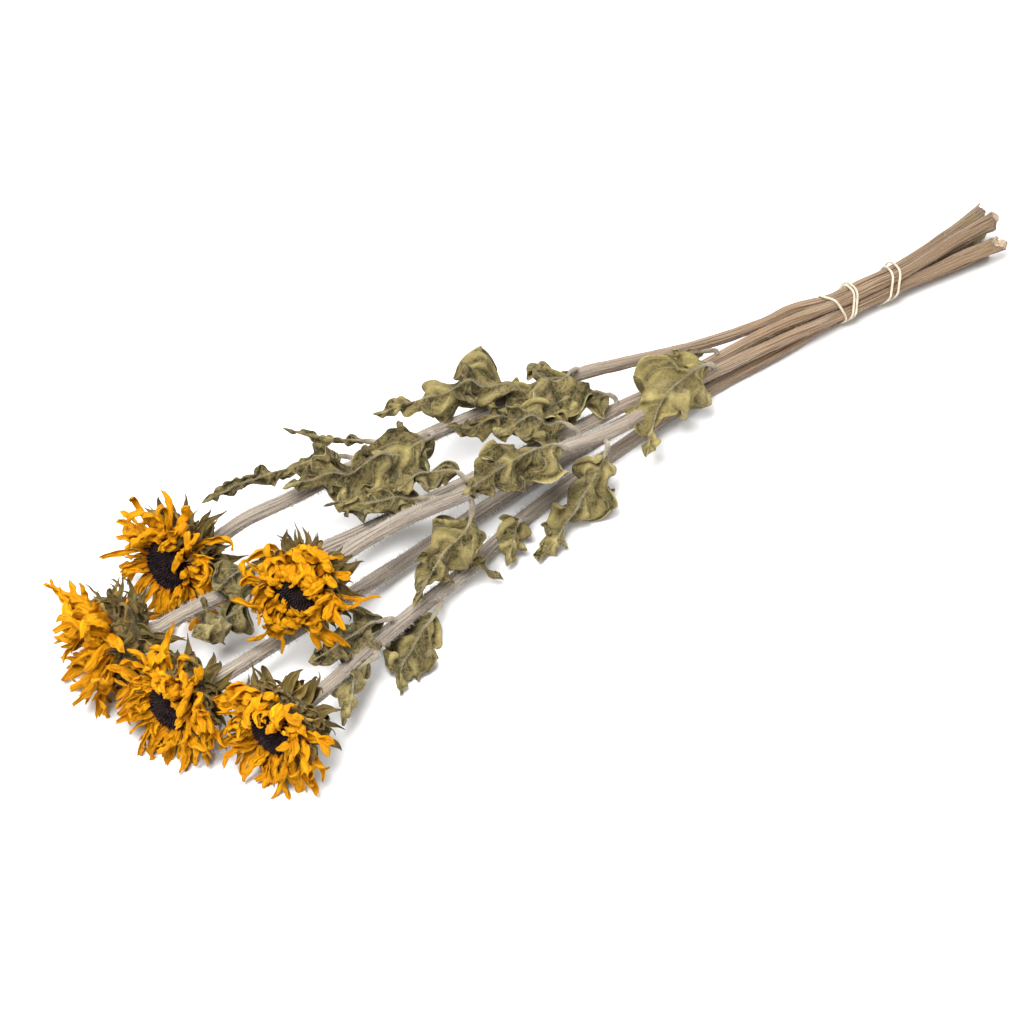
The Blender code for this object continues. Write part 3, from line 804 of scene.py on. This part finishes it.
def make_receptacle(head, material):
    points = [(radius, 0, height) for radius, height in RECEPTACLE]
    profile = smooth_route(points, RECEPTACLE_STEP)

    def place(k, angle):
        bumps = noise.noise(Vector((3 * math.cos(angle), 3 * math.sin(angle), k / 3 + int(head))))
        radius = profile[k].x * (1 + 0.09 * bumps)
        return head_place(head, angle, radius, profile[k].z)

    bm = bmesh.new()
    roll_tube(bm, len(profile), RECEPTACLE_SIDES, place, lambda k: RECEPTACLE_STEP * k)
    rng = random.Random(300 + int(head))
    for _ in range(RECEPTACLE_HAIRS):
        angle = rng.uniform(0, 2 * math.pi)
        radius, _, height = profile[rng.randrange(2, len(profile) - 10)]
        spot = head_place(head, angle, radius, height)
        out = (spot - head_place(head, 0, 0, height + 6)).normalized()
        add_hair(bm, spot, (out + 0.4 * random_direction(rng)).normalized(), rng.uniform(0.9, 2.2))
    finish_piece(f"calyx_{head}_receptacle", bm, [material], [f"calyx_{head}"])


def make_bracts(head, material):
    rng = random.Random(200 + int(head))
    bm = bmesh.new()
    size = HEADS[head]["size"]
    for row in BRACT_ROWS:
        for n in range(row["count"]):
            angle = 2 * math.pi * (n + rng.uniform(-0.35, 0.35)) / row["count"]
            pitch = math.radians(row["pitch"] + rng.gauss(0, 13))
            heading, upper = head_heading(head, angle, pitch)
            ochre = rng.random() < OCHRE_SHARE
            shape = {"length": rng.uniform(*row["length"]) * size * (0.85 if ochre else 1),
                     "width": row["width"] * size * rng.uniform(0.8, 1.25) * (1.25 if ochre else 1),
                     "outline": bract_outline,
                     "bend": rng.gauss(0.5, 1.1), "twist": rng.gauss(0, 0.9),
                     "hook": rng.gauss(0.7, 1.1), "sway": rng.gauss(0, 0.35), "sag": 0.15,
                     "cup": rng.uniform(0.5, 1.5), "pleats": 0.08, "ragged": 1.0,
                     "tint": rng.uniform(0.75, 1.0) if ochre else rng.uniform(0.0, 0.55)}
            root = head_place(head, angle, row["radius"] - 1, row["height"])
            add_ribbon(bm, root, heading, upper, shape, BRACT_GRID, rng.uniform(0, 99))
    thicken(finish_piece(f"calyx_{head}_bracts", bm, [material], []), BRACT_THICKNESS)


def make_receptacle_material():
    material, tree, shader = new_material("receptacle", 0.9, 0.1)
    place = object_place(tree)
    colour = mix_colours(tree, mottle(tree, place, 130.0), (0.036, 0.024, 0.008), (0.125, 0.084, 0.027))
    colour = mix_colours(tree, mottle(tree, place, 420.0, 4.0, 0.6), colour, (0.27, 0.200, 0.090))
    tree.links.new(colour, shader.inputs["Base Color"])
    bump(tree, shader, mottle(tree, place, 600.0), 0.0006)
    return material


def make_bract_material():
    material, tree, shader = new_material("bract", 0.85, 0.03)
    place = object_place(tree)
    parts = add_node(tree, "ShaderNodeSeparateXYZ", None, Vector=attribute(tree, "ribbon", "Vector"))
    tint = parts.outputs["Z"]
    grain = stretched(tree, attribute(tree, "ribbon", "Vector"), (7.0, 1.2, 9.0))
    green = mix_colours(tree, mottle(tree, place, 120.0), (0.046, 0.033, 0.006), (0.132, 0.096, 0.018))
    grey = mix_colours(tree, mottle(tree, place, 160.0), (0.052, 0.032, 0.009), (0.150, 0.097, 0.025))
    skin = mix_colours(tree, remap(tree, tint, 0.1, 0.5), green, grey)
    skin = mix_colours(tree, remap(tree, tint, 0.6, 0.85), skin, (0.33, 0.215, 0.055))
    skin = mix_colours(tree, mottle(tree, grain, 1.0, 4.0, 0.55), skin, (0.25, 0.176, 0.058))
    skin = mix_colours(tree, remap(tree, parts.outputs["Y"], 0.6, 1.0, 0.0, 0.75), skin,
                       (0.060, 0.044, 0.030))
    tree.links.new(skin, shader.inputs["Base Color"])
    bump(tree, shader, mottle(tree, grain, 2.0), 0.0006)
    return material


receptacle_material = make_receptacle_material()
bract_material = make_bract_material()
for head in HEADS:
    make_receptacle(head, receptacle_material)
    make_bracts(head, bract_material)

# -------------------------------------------------------------------------------- seed discs
# The dark middle of each flower: a low dome packed with dried florets in crossing spirals, nearly
# black, with scattered patches of purple-brown bloom.

DISC_PROFILE = [(0.3, 3.6), (5, 3.3), (9, 2.3), (12.5, 0.4), (14.2, -2.5), (13, -5)]
DISC_STEP = 1.2
DISC_SIDES = 36
FLORETS = 280
FLORETS_REACH = 14.0                # how far from the middle the florets stand
GOLDEN_ANGLE = math.radians(137.508)
FLORET_HEIGHT = (1.4, 2.6)
FLORET_RADIUS = 0.75


def make_seed_disc(head, material):
    profile = smooth_route([(radius, 0, height) for radius, height in DISC_PROFILE], DISC_STEP)

    def place(k, angle):
        return head_place(head, angle, profile[k].x, profile[k].z)

    bm = bmesh.new()
    roll_tube(bm, len(profile), DISC_SIDES, place, lambda k: DISC_STEP * k)
    rng = random.Random(400 + int(head))
    _, facing, side, top = head_axes(head)
    for n in range(FLORETS):
        radius = FLORETS_REACH * math.sqrt((n + 0.5) / FLORETS)
        angle = n * GOLDEN_ANGLE
        height = 3.6 - 4.2 * (radius / FLORETS_REACH) ** 2.4
        out = side * math.cos(angle) + top * math.sin(angle)
        lean = facing + out * 0.05 * radius + 0.4 * random_direction(rng)
        turn = lean.to_track_quat("Z", "Y").to_matrix().to_4x4()
        tall = rng.uniform(*FLORET_HEIGHT)
        spot = metres(head_place(head, angle, radius, height + 0.35 * tall))
        bmesh.ops.create_cone(bm, cap_ends=True, segments=5, radius1=FLORET_RADIUS * 0.001,
                              radius2=FLORET_RADIUS * 0.00045, depth=tall * 0.001,
                              matrix=Matrix.Translation(spot) @ turn)
    finish_piece(f"seed_disc_{head}_florets", bm, [material], [f"seed_disc_{head}"])


def make_floret_material():
    material, tree, shader = new_material("dried_florets", 0.9, 0.0)
    place = object_place(tree)
    colour = mix_colours(tree, mottle(tree, place, 220.0, 4.0), (0.009, 0.006, 0.007),
                         (0.032, 0.019, 0.020))
    colour = mix_colours(tree, mottle(tree, place, 500.0, 6.0, 0.66), colour, (0.08, 0.047, 0.034))
    tree.links.new(colour, shader.inputs["Base Color"])
    bump(tree, shader, mottle(tree, place, 900.0), 0.0005)
    return material


floret_material = make_floret_material()
for head in HEADS:
    make_seed_disc(head, floret_material)

# -------------------------------------------------------------------------------- ray petals
# Four rows of narrow ray petals round each disc. Drying has shrunk, pleated and twisted them, and
# kept their marigold colour, deeper orange at their roots and in their folds.

PETAL_ROWS = [
    {"count": 27, "radius": 16.5, "height": -4.5, "length": (21, 29), "width": 3.5, "lean": 16},
    {"count": 24, "radius": 16.0, "height": -3.2, "length": (20, 27), "width": 3.6, "lean": 4},
    {"count": 22, "radius": 15.3, "height": -2.0, "length": (15, 23), "width": 3.5, "lean": -8},
    {"count": 17, "radius": 14.8, "height": -0.8, "length": (11, 17), "width": 3.1, "lean": -22},
]
PETAL_GRID = (6, 16)
PETAL_THICKNESS = 0.3
# how each head's petals stand: pitch in degrees from its facing, how far the rows spread, how much
# they bend and the upper ones fold in, how they sag, and how long they are
PETAL_SET = {
    "1": {"pitch": 74, "spread": 1.0, "bend": 0.3, "fold_in": 0.9, "sag": 0.55, "reach": 1.1},
    "2": {"pitch": 58, "spread": 2.0, "bend": 2.4, "fold_in": 1.2, "sag": 0.5, "reach": 1.08},
    "3": {"pitch": 36, "spread": 0.6, "bend": 0.4, "fold_in": 0.1, "sag": 0.35, "reach": 1.22},
    "4": {"pitch": 64, "spread": 1.2, "bend": 0.8, "fold_in": 1.0, "sag": 0.6, "reach": 1.06},
    "5": {"pitch": 66, "spread": 1.2, "bend": 0.8, "fold_in": 1.2, "sag": 0.6, "reach": 1.06},
}


def petal_outline(t):
    """A narrow claw, widest past the middle, and a blunt tip."""
    return (0.4 + 0.6 * math.sin(math.pi * (0.08 + 0.74 * t))) * (1 - 0.45 * t ** 10)


def make_petals(head, material):
    """The upper petals of a head fold down over the disc, and the lower ones hang outwards."""
    rng = random.Random(500 + int(head))
    pose = PETAL_SET[head]
    bm = bmesh.new()
    size = HEADS[head]["size"]
    for row in PETAL_ROWS:
        for n in range(row["count"]):
            angle = 2 * math.pi * (n + rng.uniform(-0.4, 0.4)) / row["count"]
            pitch = math.radians(pose["pitch"] + pose["spread"] * row["lean"] + rng.gauss(0, 11))
            heading, upper = head_heading(head, angle, pitch)
            above = max(0.0, math.sin(angle))
            shape = {"length": rng.uniform(*row["length"]) * size * pose["reach"],
                     "width": row["width"] * size * rng.uniform(0.7, 1.2) * (0.9 + 0.3 * above),
                     "outline": petal_outline,
                     "hook": rng.gauss(0.5, 1.0),
                     "bend": pose["bend"] + pose["fold_in"] * above + rng.gauss(0, 0.7),
                     "twist": rng.gauss(0, 1.5), "sway": rng.gauss(0, 0.6), "sag": pose["sag"],
                     "cup": rng.uniform(0.8, 2.2), "pleats": rng.uniform(0.08, 0.22), "ragged": 6.0,
                     "tint": rng.random()}
            root = head_place(head, angle, row["radius"] - 1.5, row["height"])
            add_ribbon(bm, root, heading, upper, shape, PETAL_GRID, rng.uniform(0, 99))
    piece = finish_piece(f"ray_petals_{head}_rays", bm, [material], [f"ray_petals_{head}"])
    thicken(piece, PETAL_THICKNESS)


def make_petal_material():
    material, tree, shader = new_material("ray_petal", 0.7, 0.0)
    place = object_place(tree)
    ribbon = attribute(tree, "ribbon", "Vector")
    parts = add_node(tree, "ShaderNodeSeparateXYZ", None, Vector=ribbon)
    ribs = mottle(tree, stretched(tree, ribbon, (6.0, 0.8, 40.0)), 1.0, 4.0)
    patches = mottle(tree, place, 140.0, 2.6)
    colour = mix_colours(tree, patches, (0.50, 0.150, 0.0010), (0.66, 0.275, 0.002))
    colour = mix_colours(tree, ribs, colour, (0.72, 0.350, 0.004))
    root = remap(tree, parts.outputs["Y"], 0.0, 0.3, 0.7, 0.0)
    colour = mix_colours(tree, root, colour, (0.44, 0.095, 0.0010))
    scorched = mottle(tree, place, 300.0, 6.0, 0.66)
    colour = mix_colours(tree, scorched, colour, (0.42, 0.082, 0.001))
    tree.links.new(colour, shader.inputs["Base Color"])
    bump(tree, shader, ribs, 0.0006, 0.8)
    return material


petal_material = make_petal_material()
for head in HEADS:
    make_petals(head, petal_material)

# ------------------------------------------------------------------------------ rubber bands
# Two natural rubber bands, wound tight round the five stems. The inner one's last turn hangs loose.
# They are the CAD bands, smoothed.

BANDS = ("rubber_band_end", "rubber_band_inner")


def make_band(name, material):
    bm = bmesh.new()
    bm.from_mesh(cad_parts[name].data)
    bmesh.ops.remove_doubles(bm, verts=bm.verts, dist=1e-6)
    bmesh.ops.recalc_face_normals(bm, faces=bm.faces)
    for face in bm.faces:
        face.smooth = True
    piece = finish_piece(f"{name}_cord", bm, [material], [name])
    soft = piece.modifiers.new("soft", "SUBSURF")
    soft.levels = soft.render_levels = 1


def make_rubber_material():
    material, tree, shader = new_material("natural_rubber", 0.6, 0.1)
    place = object_place(tree)
    colour = mix_colours(tree, mottle(tree, place, 240.0), (0.47, 0.385, 0.275), (0.68, 0.60, 0.475))
    tree.links.new(colour, shader.inputs["Base Color"])
    bump(tree, shader, mottle(tree, place, 900.0), 0.0003)
    return material


rubber_material = make_rubber_material()
for name in BANDS:
    make_band(name, rubber_material)

# ------------------------------------------------------------------------------ floor, light
# A plain white floor under soft studio light from above.

floor_mesh = bpy.data.meshes.new("floor")
bm = bmesh.new()
bmesh.ops.create_grid(bm, x_segments=1, y_segments=1, size=6.0)
bm.to_mesh(floor_mesh)
bm.free()
floor = bpy.data.objects.new("floor", floor_mesh)
floor_material, _, floor_shader = new_material("white_floor", 0.9)
floor_shader.inputs["Base Color"].default_value = (0.93, 0.93, 0.93, 1)
floor_mesh.materials.append(floor_material)
bpy.context.scene.collection.objects.link(floor)

LIGHTS = {
    "key": {"spot": (-0.9, -0.5, 1.6), "size": 0.8, "power": 57},
    "fill": {"spot": (0.9, -1.3, 1.2), "size": 1.6, "power": 11},
    "top": {"spot": (0.3, 0.9, 1.7), "size": 1.4, "power": 27},
}
for name, light in LIGHTS.items():
    lamp_data = bpy.data.lights.new(name, "AREA")
    lamp_data.size = light["size"]
    lamp_data.energy = light["power"]
    lamp = bpy.data.objects.new(name, lamp_data)
    lamp.location = light["spot"]
    lamp.rotation_euler = Vector(light["spot"]).to_track_quat("Z", "Y").to_euler()
    bpy.context.scene.collection.objects.link(lamp)

world = bpy.data.worlds.new("studio")
world.use_nodes = True
sky = world.node_tree.nodes["Background"]
sky.inputs["Color"].default_value = (1, 1, 1, 1)
seen = add_node(world.node_tree, "ShaderNodeLightPath").outputs["Is Camera Ray"]
world.node_tree.links.new(remap(world.node_tree, seen, 0, 1, 0.26, 1.0), sky.inputs["Strength"])
bpy.context.scene.world = world
